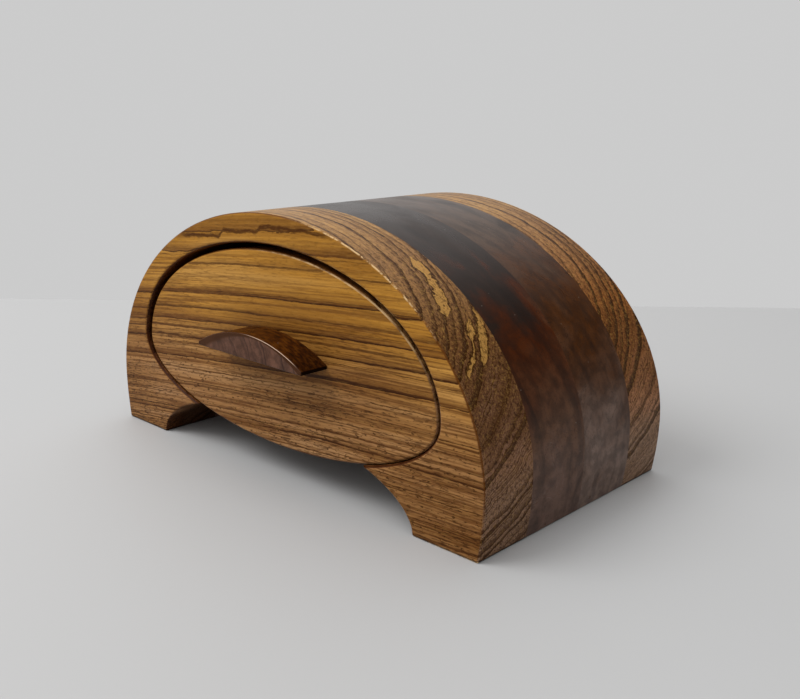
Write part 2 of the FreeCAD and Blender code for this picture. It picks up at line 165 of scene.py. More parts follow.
table_finish, _, table_shader = new_finish("table_finish")
table_shader.inputs["Base Color"].default_value = tone(TABLE_GREY, TABLE_GREY, TABLE_GREY)
table_shader.inputs["Roughness"].default_value = TABLE_ROUGHNESS
table_mesh.materials.append(table_finish)
print("table", 2 * TABLE_SIZE, "m wide")

# %% Light the room
WALL_GREY = 0.60
DIM_CORNER = 0.08
BRIGHT_SIDE = 0.84
HORIZON = 0.35
CEILING = 0.42
TO_DIM_CORNER = (1.0, 0.7, -0.4)

world = bpy.data.worlds.new("room")
bpy.context.scene.world = world
world.use_nodes = True
room = world.node_tree
room.nodes.clear()
direction = add_node(room, "ShaderNodeTexCoord").outputs["Generated"]
upwards = add_node(room, "ShaderNodeSeparateXYZ", {"Vector": direction}).outputs["Z"]


def towards(way):
    node = add_node(room, "ShaderNodeVectorMath", operation="DOT_PRODUCT")
    plug(room, node.inputs[0], direction)
    node.inputs[1].default_value = way
    return node.outputs["Value"]


daylight = ramp(room, towards(TO_DIM_CORNER), 0.60, -0.05, DIM_CORNER, BRIGHT_SIDE)
above = ramp(room, upwards, 0.06, 0.26)
over_horizon = figure(room, "SUBTRACT", daylight, HORIZON)
daylight = figure(room, "MULTIPLY_ADD", above, over_horizon, HORIZON)
daylight = figure(room, "ADD", daylight, ramp(room, upwards, 0.50, 1.00, 0.0, CEILING))
on_wall = product(room, ramp(room, towards(across), 0.80, 0.92), ramp(room, upwards, 0.20, 0.10))
on_wall = figure(room, "MAXIMUM", on_wall, ramp(room, upwards, -0.04, -0.14))
wall_share = product(room, on_wall, figure(room, "SUBTRACT", WALL_GREY, daylight))
brightness = figure(room, "ADD", daylight, wall_share)
walls = add_node(room, "ShaderNodeBackground", {"Strength": brightness})
walls.inputs["Color"].default_value = tone(1, 1, 1)
sky = add_node(room, "ShaderNodeOutputWorld")
room.links.new(walls.outputs[0], sky.inputs["Surface"])
print("the room's light has", len(room.nodes), "nodes")

# %% Hang the lamp
LAMP_PLACE = (-0.70, -0.85, 1.30)
LAMP_SIZE = 1.0
LAMP_POWER = 12.5
BOX_MIDDLE = (0.0, 0.0, 0.05)

lamp = bpy.data.lights.new("window", "AREA")
lamp.shape = "DISK"
lamp.size = LAMP_SIZE
lamp.energy = LAMP_POWER
lamp_holder = bpy.data.objects.new("window", lamp)
lamp_holder.location = LAMP_PLACE
lamp_holder.rotation_mode = "QUATERNION"
to_box = Vector(BOX_MIDDLE) - Vector(LAMP_PLACE)
lamp_holder.rotation_quaternion = to_box.to_track_quat("-Z", "Y")
bpy.context.scene.collection.objects.link(lamp_holder)
bpy.context.scene.view_settings.view_transform = "Standard"
print("the lamp hangs", round(to_box.length, 2), "m from the box")

# %% [markdown]
# ## Striped wood
# The stripes are growth rings, nested round the heart of the tree like the skins of an onion. A
# surface shows the rings that it cuts: lines along the front, slanting lines at the end of the
# board, broad ragged patches where it only grazes them. So the pattern is built in space, not
# painted on faces: each point's distance from the heart, a little disturbed, picks its ring. All
# boards share the box's own coordinates, so a stripe runs on from the frame into the drawer, as it
# does on a drawer that is sawn out of the same block.

# %% Where a point lies in the board
MILLIMETRES = 1000.0


def place_in_board(tree, turn=0.0):
    # Place in millimetres and the way the surface faces, with the grain along X before any turn
    coordinates = add_node(tree, "ShaderNodeTexCoord")
    turned = {"Rotation": (0.0, 0.0, turn)}
    enlarged = {"Vector": coordinates.outputs["Object"], "Scale": (MILLIMETRES,) * 3, **turned}
    place = add_node(tree, "ShaderNodeMapping", enlarged)
    facing = {"Vector": coordinates.outputs["Normal"], **turned}
    normal = add_node(tree, "ShaderNodeMapping", facing, vector_type="VECTOR")
    return place.outputs[0], normal.outputs[0]


def parts_of(tree, vector):
    return add_node(tree, "ShaderNodeSeparateXYZ", {"Vector": vector}).outputs


def stretched(tree, place, along, shift=(0.0, 0.0, 0.0)):
    inputs = {"Vector": place, "Location": shift, "Scale": (along, 1.0, 1.0)}
    return add_node(tree, "ShaderNodeMapping", inputs).outputs[0]


def cloud(tree, place, scale, detail=2.0, roughness=0.5):
    inputs = {"Vector": place, "Scale": scale, "Detail": detail, "Roughness": roughness}
    return add_node(tree, "ShaderNodeTexNoise", inputs, noise_dimensions="3D").outputs["Fac"]


def spread(tree, value, reach):
    # A noise from 0 to 1 becomes a push of up to this reach either way
    centred = figure(tree, "SUBTRACT", value, 0.5)
    return product(tree, centred, 2.0 * reach)


print("patterns are measured in millimetres,", MILLIMETRES, "to the metre")

# %% [markdown]
# ## Growth layers
# A tree adds a layer each year round its heart, never in a perfect circle. The stripes could be a
# wave texture along one axis, but then the end of the board wouldn't fit its front. The distance
# from the heart, pushed about by slow and quick noise, gives each point one number, and the front,
# the crown and the end agree. The grain also bows a little along the board.

# %% Growth layers round the heart
BOW = 0.0002
LEAN = -0.09
LEAST_CUT = 0.15


def vector_sum(tree, operation, first, second):
    node = add_node(tree, "ShaderNodeVectorMath", operation=operation)
    plug(tree, node.inputs[0], first)
    if second is not None:
        plug(tree, node.inputs[1], second)
    return node


def along_grain(tree, place):
    # The grain bows, so a point's height is taken from the bowed line that it lies on
    spot = parts_of(tree, place)
    bowed = figure(tree, "MULTIPLY_ADD", spot["X"], BOW, LEAN)
    lifted = figure(tree, "MULTIPLY_ADD", bowed, spot["X"], spot["Z"])
    inputs = {"X": spot["X"], "Y": spot["Y"], "Z": lifted}
    return add_node(tree, "ShaderNodeCombineXYZ", inputs).outputs[0]


def disturbance(tree, place, normal, cut, seed):
    # Slow drift, ripples and teeth; the teeth are wilder on the upper part of the end grain
    drift = spread(tree, cloud(tree, stretched(tree, place, 0.8, seed), 0.012, 1.0), 1.2)
    endwise = figure(tree, "ABSOLUTE", parts_of(tree, normal)["X"])
    wavy = figure(tree, "MULTIPLY_ADD", endwise, 2.4, 1.8)
    waves = cloud(tree, stretched(tree, place, 0.08, seed), 0.12, 2.0)
    ripple = product(tree, figure(tree, "SUBTRACT", waves, 0.5), wavy)
    teeth = spread(tree, cloud(tree, stretched(tree, place, 0.30, seed), 0.45, 3.0), 0.55)
    wild = ramp(tree, parts_of(tree, place)["Z"], 42.0, 58.0, -0.7, 0.5)
    teeth = product(tree, teeth, figure(tree, "MULTIPLY_ADD", endwise, wild, 1.0))
    steadied = figure(tree, "MULTIPLY_ADD", cut, 0.7, 0.3)
    jagged = product(tree, figure(tree, "ADD", ripple, teeth), steadied)
    return drift, jagged


def layers(tree, place, normal, heart, seed):
    # Each point's layer, in millimetres from the heart, and how squarely the surface cuts it
    across_grain = vector_sum(tree, "MULTIPLY", place, (0.0, 1.0, 1.0)).outputs[0]
    middle = (0.0, heart[0], heart[1])
    outwards = vector_sum(tree, "SUBTRACT", across_grain, middle).outputs[0]
    radius = vector_sum(tree, "LENGTH", outwards, None).outputs["Value"]
    unit = vector_sum(tree, "NORMALIZE", outwards, None).outputs[0]
    facing = vector_sum(tree, "DOT_PRODUCT", unit, normal).outputs["Value"]
    graze = product(tree, facing, facing)
    cut = figure(tree, "SQRT", figure(tree, "SUBTRACT", 1.0, graze, clamp=True))
    cut = figure(tree, "MAXIMUM", cut, LEAST_CUT)
    drift, jagged = disturbance(tree, place, normal, cut, seed)
    disturbed = figure(tree, "ADD", radius, drift)
    return figure(tree, "ADD", disturbed, jagged), cut


HALF_WIDTH = 105.0
ends = [round(x * (BOW * x + LEAN), 1) for x in (-HALF_WIDTH, HALF_WIDTH)]
print("the grain line is moved by", ends, "mm at the left and right end")

# %% [markdown]
# ## Rings and lines
# Each layer begins pale in spring and ends in a dark line in autumn. The layer's number, divided by
# the thickness of a ring, tells how far a point is through its ring. A number drawn by lot for each
# ring makes some lines bold and others faint, as good and bad years do.

# %% Rings, lines and colour steps
def layer_noise(tree, layer, scale, detail=1.0, roughness=0.5):
    inputs = {"W": layer, "Scale": scale, "Detail": detail, "Roughness": roughness}
    return add_node(tree, "ShaderNodeTexNoise", inputs, noise_dimensions="1D").outputs["Fac"]


def growth_rings(tree, layer, spacing, unevenness):
    # How far a point is through its ring, from 0 to 1, and a number drawn by lot for that ring
    evenly = product(tree, layer, 1.0 / spacing)
    push = spread(tree, layer_noise(tree, layer, 0.35 / spacing), unevenness)
    count = figure(tree, "ADD", evenly, push)
    through = figure(tree, "FRACT", count)
    number = figure(tree, "FLOOR", count)
    lot = add_node(tree, "ShaderNodeTexWhiteNoise", {"W": number}, noise_dimensions="1D")
    return through, lot.outputs["Value"]


def ring_line(tree, through, spacing, thickness):
    # The dark end of each ring: it fades in over this many millimetres and stops sharply
    share = product(tree, thickness, 1.0 / spacing)
    start = figure(tree, "SUBTRACT", 1.0, share)
    return ramp(tree, through, start, figure(tree, "MULTIPLY_ADD", share, 0.6, start))


def colour_steps(tree, value, steps):
    node = add_node(tree, "ShaderNodeValToRGB", {"Fac": value})
    elements = node.color_ramp.elements
    while len(elements) < len(steps):
        elements.new(0.5)
    for element, (position, colour) in zip(elements, steps):
        element.position = position
        element.color = colour
    return node.outputs["Color"]


print("ring helpers: layer_noise, growth_rings, ring_line, colour_steps")

# %% [markdown]
# ## What is asked of each point
# Every part of the striped finish asks the same of a point: where it lies, in which layer and ring,
# and on which face of the board. Each could work it out again, but then a change would have to be
# made in many places. So it is measured once, and the parts share it.

# %% Measure the striped board
RING = 3.6
UNEVENNESS = 0.9


def measure_board(tree, heart, seed):
    place, normal = place_in_board(tree)
    grain = along_grain(tree, place)
    spot, facing = parts_of(tree, place), parts_of(tree, normal)
    layer, cut = layers(tree, grain, normal, heart, seed)
    through, lot = growth_rings(tree, layer, RING, UNEVENNESS)
    endwise = figure(tree, "ABSOLUTE", facing["X"])
    at = SimpleNamespace(place=place, grain=grain, seed=seed, spot=spot, facing=facing)
    at.layer, at.cut, at.through, at.lot = layer, cut, through, lot
    at.high = spot["Z"]
    at.end_grain = ramp(tree, endwise, 0.20, 0.75)
    at.sideways = ramp(tree, endwise, 0.16, 0.46)
    at.crown = ramp(tree, facing["Z"], 0.55, 0.95)
    at.fade = cloud(tree, stretched(tree, grain, 0.12, seed), 0.10, 2.0)
    return at


print("a ring of the striped wood is", RING, "mm thick")

# %% [markdown]
# ## The golden ground
# Between its stripes the wood is golden, ochre near the crown and browner at the feet. A flat
# colour would look like paint, so there are two colour ramps, mixed by height, and slow noise along
# the grain picks the place on each ramp. The left side and the right foot are a little darker.

# %% The golden ground
UPPER_GOLD = (
    (0.20, tone(0.320, 0.130, 0.014)),
    (0.50, tone(0.490, 0.226, 0.032)),
    (0.80, tone(0.640, 0.340, 0.085)),
)
LOWER_GOLD = (
    (0.20, tone(0.220, 0.094, 0.024)),
    (0.50, tone(0.365, 0.178, 0.064)),
    (0.80, tone(0.525, 0.295, 0.138)),
)


def golden_ground(tree, at):
    # Ochre high up, browner low down and on end grain, with broad bands and long patches
    broad = spread(tree, layer_noise(tree, at.layer, 0.10, 2.0), 0.35)
    patchy = cloud(tree, stretched(tree, at.grain, 0.1, at.seed), 0.12, 2.0)
    patchy = spread(tree, patchy, 0.35)
    left_side = ramp(tree, at.spot["X"], -70.0, -98.0, 0.5, 0.36)
    right_foot = ramp(tree, at.spot["X"], 45.0, 75.0, 0.0, 0.13)
    right_foot = product(tree, right_foot, ramp(tree, at.high, 32.0, 20.0))
    lightness = figure(tree, "SUBTRACT", left_side, right_foot)
    depth = figure(tree, "ADD", figure(tree, "ADD", broad, patchy), lightness)
    height = figure(tree, "ADD", at.high, product(tree, patchy, 40.0))
    height = figure(tree, "MULTIPLY_ADD", at.end_grain, -35.0, height)
    upper = colour_steps(tree, depth, UPPER_GOLD)
    lower = colour_steps(tree, depth, LOWER_GOLD)
    return blend(tree, ramp(tree, height, 25.0, 75.0), lower, upper)


print("golden ground:", len(UPPER_GOLD), "steps above and", len(LOWER_GOLD), "below")

# %% [markdown]
# ## The tone of each face
# End grain drinks more oil than the front and turns browner, with a dark band halfway up. Its foot
# is greyer: partly dry wood, partly a painted reflection of the table. The shoulder is olive, and
# the crown is painted paler as a painted sheen on the top. Each face could have a finish of its
# own, but then a seam would show, so one finish changes its tone by the way a point faces.

# %% Tones of the ends, the shoulder and the crown
END_BAND = tone(0.072, 0.031, 0.013)
CROWN_SHEEN = tone(0.540, 0.355, 0.190)
CROWN_SHEEN_SHARE = 0.35
DRY_AND_TABLE_SHEEN = tone(0.400, 0.270, 0.188)
SHOULDER = tone(0.58, 0.45, 0.18)


def face_tones(tree, at, colour, end_shade, dry_and_sheen):
    colour = blend(tree, at.end_grain, colour, end_shade, "MULTIPLY")
    shoulder = product(tree, at.sideways, ramp(tree, at.high, 46.0, 76.0))
    colour = blend(tree, shoulder, colour, SHOULDER, "MULTIPLY")
    band = product(tree, ramp(tree, at.high, 30.0, 42.0), ramp(tree, at.high, 72.0, 60.0, 0.0, 0.5))
    colour = blend(tree, product(tree, band, at.end_grain), colour, END_BAND)
    # Painted sheen: the crown, which faces up, is mixed towards a paler tone
    colour = blend(tree, product(tree, at.crown, CROWN_SHEEN_SHARE), colour, CROWN_SHEEN)
    # The foot of the end grain is mixed towards a greyer tone: partly dry wood, partly a painted
    # reflection of the table
    dry_and_sheen_mask = product(tree, at.end_grain, ramp(tree, at.high, 45.0, 15.0, 0.0, dry_and_sheen))
    return blend(tree, dry_and_sheen_mask, colour, DRY_AND_TABLE_SHEEN)


print("faces: ends", END_BAND[:3], "shoulder", SHOULDER[:3], "crown", CROWN_SHEEN[:3])

# %% [markdown]
# ## Pale flames
# On the right shoulder the saw grazed a few pale layers, and they show as ragged flames. They could
# be drawn as spots, but they follow the grain, so each is picked by its distance from the heart.
# Noise makes it swell and shrink, and it ends at a lowest and a highest point.

# %% Pale layers on the shoulder
FLAME = tone(0.600, 0.315, 0.078)
TAPER = 3.0
# Each pale layer: its distance from the heart, half its thickness, and the heights where it shows
FRONT_FLAMES = ((59.0, 1.9, 76.0, 93.0), (67.2, 1.2, 59.0, 76.0), (71.8, 1.2, 61.0, 79.0))


def pale_layers(tree, at, flames):
    # The pale layers and the dark lines along them, on the right side of the front board
    swelling = ramp(tree, cloud(tree, at.place, 0.14, 3.0, 0.6), 0.33, 0.60, 0.30, 1.5)
    inside, rim = 0.0, 0.0
    for middle, half, lowest, highest in flames:
        off = figure(tree, "ABSOLUTE", figure(tree, "SUBTRACT", at.layer, middle))
        starts = ramp(tree, at.high, lowest, lowest + TAPER)
        stops = ramp(tree, at.high, highest, highest - TAPER)
        shown = product(tree, starts, stops)
        width = product(tree, swelling, half, shown)
        pale = ramp(tree, off, width, figure(tree, "SUBTRACT", width, 0.35))
        inside = figure(tree, "MAXIMUM", inside, pale)
        edge = ramp(tree, off, figure(tree, "ADD", width, 0.9), figure(tree, "ADD", width, 0.3))
        rim = figure(tree, "MAXIMUM", rim, product(tree, edge, shown))
    to_right = ramp(tree, at.facing["X"], 0.28, 0.40)
    to_right = product(tree, to_right, ramp(tree, at.spot["Y"], -24.0, -26.0))
    return product(tree, inside, to_right), product(tree, rim, to_right)


print("pale layers in the front board:", len(FRONT_FLAMES))

# %% [markdown]
# ## The ragged line over the drawer
# High on the frame one dark layer comes out through the front in steps, as a bold ragged line. The
# layers alone run too straight there, so this line is given its own climb: a few steps from left to
# right, with noise for its teeth.

# %% A ragged line in steps
RAGGED = tone(0.070, 0.020, 0.001)
RAGGED_START = 90.5
RAGGED_TEETH = 1.4
# Each step of the line: where it begins and ends from left to right, and how far it climbs
RAGGED_STEPS = ((-55.0, -31.0, 2.0), (-30.5, -26.5, 2.6), (-25.0, -10.0, 1.2), (-8.0, -2.0, 3.0))


def ragged_line(tree, at, colour):
    # The line climbs step by step and fades out at both ends, on the front only
    teeth = cloud(tree, stretched(tree, at.place, 0.5), 0.35, 3.0, 0.6)
    height = figure(tree, "ADD", spread(tree, teeth, RAGGED_TEETH), RAGGED_START)
    for begins, ends, climb in RAGGED_STEPS:
        step = ramp(tree, at.spot["X"], begins, ends, 0.0, climb)
        height = figure(tree, "ADD", height, step)
    off = figure(tree, "ABSOLUTE", figure(tree, "SUBTRACT", at.high, height))
    line = product(
        tree,
        ramp(tree, off, 1.20, 0.35),
        ramp(tree, at.spot["X"], -60.0, -50.0),
        ramp(tree, at.spot["X"], 38.0, 26.0, 0.0, 0.9),
        ramp(tree, at.facing["Y"], -0.7, -0.9),
    )
    return blend(tree, line, colour, RAGGED)


print("the ragged line climbs", sum(step[2] for step in RAGGED_STEPS), "mm")

# %% [markdown]
# ## Late wood and lines
# The end of each ring is dark late wood. On the front it fades in, on the end grain it is a clear
# band, and dark streaks run along the grain. The ring's last edge is a line, with finer lines
# between. Lines of one strength would look printed, so the ring's lot and a noise along the grain
# make them come and go.

# %% Late wood
BAND = tone(0.130, 0.045, 0.009)


def late_wood(tree, at, colour):
    begins = ramp(tree, at.lot, 0.0, 1.0, 0.85, 0.25)
    late = ramp(tree, at.through, begins, 1.0)
    late = product(tree, late, ramp(tree, at.lot, 0.1, 0.9, 0.30, 0.90))
    colour = blend(tree, late, colour, BAND)
    late_end = ramp(tree, at.through, 0.40, 0.65)
    late_end = product(tree, late_end, ramp(tree, at.lot, 0.15, 0.75, 0.05, 1.0), at.end_grain)
    colour = blend(tree, late_end, colour, END_BAND)
    streaks = cloud(tree, stretched(tree, at.grain, 0.015, at.seed), 0.9, 3.0, 0.6)
    streak = product(
        tree,
        ramp(tree, streaks, 0.47, 0.60),
        ramp(tree, at.high, 50.0, 95.0, 0.75, 0.40),
        ramp(tree, at.end_grain, 0.0, 1.0, 1.0, 0.3),
    )
    return blend(tree, streak, colour, BAND)


print("late wood in", BAND[:3])

# %% Lines
STRIPE = tone(0.048, 0.014, 0.002)
FINE_STRIPE = tone(0.075, 0.026, 0.004)
FINE_RING = 1.3
FLAME_SHARE = 0.85


def grain_lines(tree, at, colour, flames):
    dashes = cloud(tree, stretched(tree, at.grain, 0.02, at.seed), 0.6, 2.0)
    dashes = ramp(tree, dashes, 0.38, 0.54, 0.30, 1.0)
    dashes = figure(tree, "MAXIMUM", dashes, at.end_grain)
    thin = product(tree, at.cut, ramp(tree, at.crown, 0.0, 1.0, 1.0, 1.5))
    thickness = product(tree, thin, ramp(tree, at.fade, 0.3, 0.7, 0.5, 1.5))
    strong = ring_line(tree, at.through, RING, thickness)
    strong = product(tree, strong, dashes, ramp(tree, at.lot, 0.15, 0.75, 0.20, 0.95))
    through, lot = growth_rings(tree, at.layer, FINE_RING, UNEVENNESS)
    fine = ring_line(tree, through, FINE_RING, product(tree, thin, 0.5))
    fine = product(tree, fine, dashes, ramp(tree, lot, 0.40, 0.85, 0.0, 1.0))
    if flames:
        flame, rim = pale_layers(tree, at, flames)
        unlit = figure(tree, "SUBTRACT", 1.0, flame)
        fine = product(tree, fine, ramp(tree, flame, 0.0, 1.0, 1.0, 0.4))
        strong = product(tree, figure(tree, "MAXIMUM", strong, rim), unlit)
        colour = blend(tree, product(tree, flame, FLAME_SHARE), colour, FLAME)
    colour = blend(tree, fine, colour, FINE_STRIPE)
    return blend(tree, strong, colour, STRIPE)


print("lines every", RING, "mm, and finer ones every", FINE_RING, "mm")

# %% [markdown]
# ## Fibre, pores and specks
# Close up, the front has fine fibre, long pores and short dark pits near the bottom, and the end
# grain is full of specks. A bitmap could hold them, but noise in space has no seams and fits every
# face. The fibre and the pores are handed on, so that the gloss follows the fibre and a pore is
# deep as well as dark.

# %% Fibre and pores
PORE = tone(0.045, 0.015, 0.002)
PALE = tone(0.640, 0.370, 0.090)


def fibre_and_pores(tree, at, colour):
    fibre = cloud(tree, stretched(tree, at.grain, 0.02, at.seed), 1.8, 2.0)
    colour = blend(tree, ramp(tree, fibre, 0.35, 0.65, 0.22, 0.0), colour, STRIPE)
    pores = cloud(tree, stretched(tree, at.grain, 0.12, at.seed), 2.0, 1.0)
    threshold = ramp(tree, at.high, 15.0, 45.0, 0.54, 0.58)
    pore = ramp(tree, pores, threshold, figure(tree, "ADD", threshold, 0.07))
    crowded = ramp(tree, at.fade, 0.35, 0.65, 0.2, 0.9)
    crowded = product(tree, crowded, ramp(tree, at.high, 20.0, 70.0, 0.9, 0.35))
    crowded = figure(tree, "MAXIMUM", crowded, product(tree, at.end_grain, 0.5))
    colour = blend(tree, product(tree, pore, crowded), colour, PORE)
    pits = cloud(tree, stretched(tree, at.grain, 0.40, at.seed), 1.25, 2.0, 0.6)
    pits = product(
        tree,
        ramp(tree, pits, 0.60, 0.67),
        ramp(tree, at.high, 62.0, 26.0, 0.15, 0.85),
        ramp(tree, at.end_grain, 0.0, 0.5, 1.0, 0.0),
    )
    colour = blend(tree, pits, colour, PORE)
    glint = ramp(tree, pores, 0.44, 0.34)
    glint = product(tree, glint, ramp(tree, at.end_grain, 0.0, 1.0, 0.08, 0.18))
    return blend(tree, glint, colour, PALE), fibre, pore


print("pores in", PORE[:3], "with glints in", PALE[:3])

# %% Specks
SPECK = tone(0.040, 0.016, 0.004)


def end_specks(tree, at, colour):
    speckle = cloud(tree, stretched(tree, at.place, 0.5, at.seed), 0.85, 3.0, 0.7)
    speckled = figure(tree, "MAXIMUM", at.sideways, product(tree, at.crown, 0.5))
    dark = product(tree, ramp(tree, speckle, 0.48, 0.34, 0.0, 0.80), speckled)
    colour = blend(tree, dark, colour, SPECK)
    pale = product(tree, ramp(tree, speckle, 0.53, 0.70), speckled)
    pale = product(tree, pale, ramp(tree, at.high, 40.0, 65.0, 0.12, 0.28))
    return blend(tree, pale, colour, PALE)


print("specks in", SPECK[:3])

# %% [markdown]
# ## Marks of use and painted light
# A stain darkens the face round the pull, and the frame's outer edge is drawn darker. Painted shade
# darkens the saw gap, the arch underneath, the feet along their lower edge, and the face under the
# pull, where the pull's shadow falls. At the upper right and under the right foot the edge is
# painted pale, partly wear and partly a painted highlight, and so is the drawer's own rim. Each
# mark is a mask made from where a point lies and which way it faces, so that it stays on the wood
# in every view and needs no painted picture.

# %% Worn edges and a painted highlight
WORN_AND_HIGHLIGHT = tone(0.700, 0.470, 0.230)
DARK_EDGE = tone(0.120, 0.036, 0.003)


def worn_and_highlit_edges(tree, at, colour):
    # The outer edge is drawn darker. It is paler at the upper right and under the right foot:
    # partly wear, partly a painted highlight on the rounded edge
    lean = figure(tree, "ABSOLUTE", at.facing["Y"])
    edge = product(tree, ramp(tree, lean, 0.25, 0.45), ramp(tree, lean, 0.95, 0.75))
    upper_right = ramp(tree, at.spot["X"], 5.0, 40.0)
    upper_right = product(tree, upper_right, ramp(tree, at.high, 68.0, 80.0))
    under_foot = product(
        tree,
        ramp(tree, at.spot["X"], 50.0, 60.0),
        ramp(tree, at.facing["Z"], -0.10, -0.30),
        ramp(tree, at.high, 24.0, 18.0),
    )
    pale = figure(tree, "MAXIMUM", upper_right, under_foot)
    dark = product(
        tree,
        edge,
        ramp(tree, at.spot["Y"], -50.0, -50.3),
        ramp(tree, at.facing["Z"], -0.10, 0.05),
        figure(tree, "MULTIPLY_ADD", pale, -0.8, 0.8),
    )
    colour = blend(tree, dark, colour, DARK_EDGE)
    # Painted highlight, partly wear: the rounded edge at the upper right and under the right foot
    # is mixed towards a pale tone
    rubbed_and_highlit = ramp(tree, cloud(tree, at.place, 0.30, 4.0, 0.7), 0.42, 0.56, 0.0, 0.9)
    return blend(tree, product(tree, rubbed_and_highlit, pale, edge), colour, WORN_AND_HIGHLIGHT)


print("worn edges in", WORN_AND_HIGHLIGHT[:3], "and", DARK_EDGE[:3])

# %% The stained face and painted shade underneath
STAIN_AND_PULL_SHADOW = tone(0.66, 0.60, 0.58)
STAIN_AND_SHADOW_MIDDLE = (20.0, 52.0)
STAIN_AND_SHADOW_HALVES = (60.0, 18.0)
UNDERSIDE_PAINTED_SHADE = tone(0.28, 0.22, 0.18)
FOOT_PAINTED_SHADE = tone(0.040, 0.018, 0.006)


def in_oval(tree, at, middle, halves):
    # 0 in the middle of an oval on the front, 1 on its edge, and more outside
    wide = figure(tree, "SUBTRACT", at.spot["X"], middle[0])
    wide = product(tree, wide, 1.0 / halves[0])
    tall = figure(tree, "SUBTRACT", at.high, middle[1])
    tall = product(tree, tall, 1.0 / halves[1])
    return figure(tree, "MULTIPLY_ADD", tall, tall, product(tree, wide, wide))


def stain_and_painted_shade(tree, at, colour):
    # A stain darkens the drawer's face round the pull, with a painted shadow of the pull below it.
    # Painted shade darkens the feet along their lower edge, where they meet the table, and the arch
    # underneath
    # A stain round the pull, with a painted shadow of the pull below it
    stain_and_shadow = product(
        tree,
        ramp(tree, in_oval(tree, at, STAIN_AND_SHADOW_MIDDLE, STAIN_AND_SHADOW_HALVES), 1.5, 0.2),
        ramp(tree, at.facing["Y"], -0.7, -0.9),
        ramp(tree, at.spot["Y"], -48.0, -49.0, 0.0, 0.75),
    )
    colour = blend(tree, stain_and_shadow, colour, STAIN_AND_PULL_SHADOW, "MULTIPLY")
    # Painted shade: a dark line along the very bottom, where the feet meet the table
    colour = blend(tree, ramp(tree, at.high, 1.3, 0.4, 0.0, 0.85), colour, FOOT_PAINTED_SHADE)
    # Painted shade under the arch and on the inside of the feet
    painted_under_shade = product(tree, ramp(tree, at.facing["Z"], -0.15, -0.45), ramp(tree, at.high, 28.0, 22.0))
    inwards = product(tree, at.spot["X"], at.facing["X"])
    inside_foot_shade = product(tree, ramp(tree, inwards, -15.0, -40.0), ramp(tree, at.high, 24.0, 18.0))
    painted_under_shade = figure(tree, "MAXIMUM", painted_under_shade, inside_foot_shade)
    painted_under_shade = product(tree, painted_under_shade, ramp(tree, at.spot["Y"], -50.0, -36.0, 0.2, 1.0))
    return blend(tree, painted_under_shade, colour, UNDERSIDE_PAINTED_SHADE, "MULTIPLY")


print("the face is darkened to", STAIN_AND_PULL_SHADOW[:3], "and the underside to", UNDERSIDE_PAINTED_SHADE[:3])

# %% Painted shade in the saw gap and a painted highlight on the drawer's rim
OVAL_MIDDLE = (0.0, 51.7)
OVAL_HALVES = (84.25, 38.3)
GAP_SHADE = tone(0.32, 0.21, 0.13)


def gap_shade_and_rim_highlight(tree, at, colour):
    # Painted shade: sawn faces in the gap round the drawer, near the front, are darkened where
    # shade falls in the gap
    drawer_side = ramp(tree, in_oval(tree, at, OVAL_MIDDLE, OVAL_HALVES), 1.06, 1.03)
    shaded_side = product(tree, drawer_side, ramp(tree, at.facing["X"], 0.25, 0.65, 1.0, 0.0))
    raised = figure(tree, "SUBTRACT", at.high, OVAL_MIDDLE[1])
    upright = product(tree, raised, at.facing["Z"])
    inwards = figure(tree, "MULTIPLY_ADD", at.spot["X"], at.facing["X"], upright)
    sawn_shade = figure(tree, "MAXIMUM", ramp(tree, inwards, -4.0, -22.0), shaded_side)
    lean = figure(tree, "ABSOLUTE", at.facing["Y"])
    near_front = ramp(tree, at.spot["Y"], -36.0, -44.0)
    sawn_shade = product(tree, sawn_shade, ramp(tree, lean, 0.92, 0.72), near_front)
    colour = blend(tree, sawn_shade, colour, GAP_SHADE, "MULTIPLY")
    # Painted highlight, partly wear: the drawer's rounded rim at the upper right is mixed towards a
    # pale tone
    rim = product(
        tree,
        drawer_side,
        ramp(tree, lean, 0.45, 0.60),
        ramp(tree, lean, 0.95, 0.85),
        ramp(tree, at.spot["Y"], -48.7, -49.0),
        ramp(tree, at.facing["Z"], -0.10, 0.15),
        ramp(tree, at.spot["X"], -20.0, 15.0),
        ramp(tree, at.high, 58.0, 70.0, 0.15, 1.0),
        ramp(tree, cloud(tree, at.place, 0.16, 3.0, 0.6), 0.38, 0.58, 0.10, 0.60),
    )
    return blend(tree, rim, colour, WORN_AND_HIGHLIGHT)


print("the drawer's oval is", 2 * OVAL_HALVES[0], "by", 2 * OVAL_HALVES[1], "mm")

# %% [markdown]
# ## The striped finish
# Now everything is laid on from the ground up: golden ground, dark late wood, lines, pores, specks
# on the end grain and marks of use. Roughness and a very fine bump come from the same noise as the
# colour. Front and rear board get hearts of their own, which turns the stripes on their ends.

# %% The striped finish
STRIPED_GLOSS = 0.06
STRIPED_RELIEF = 0.25
RELIEF_DEPTH = 0.0001


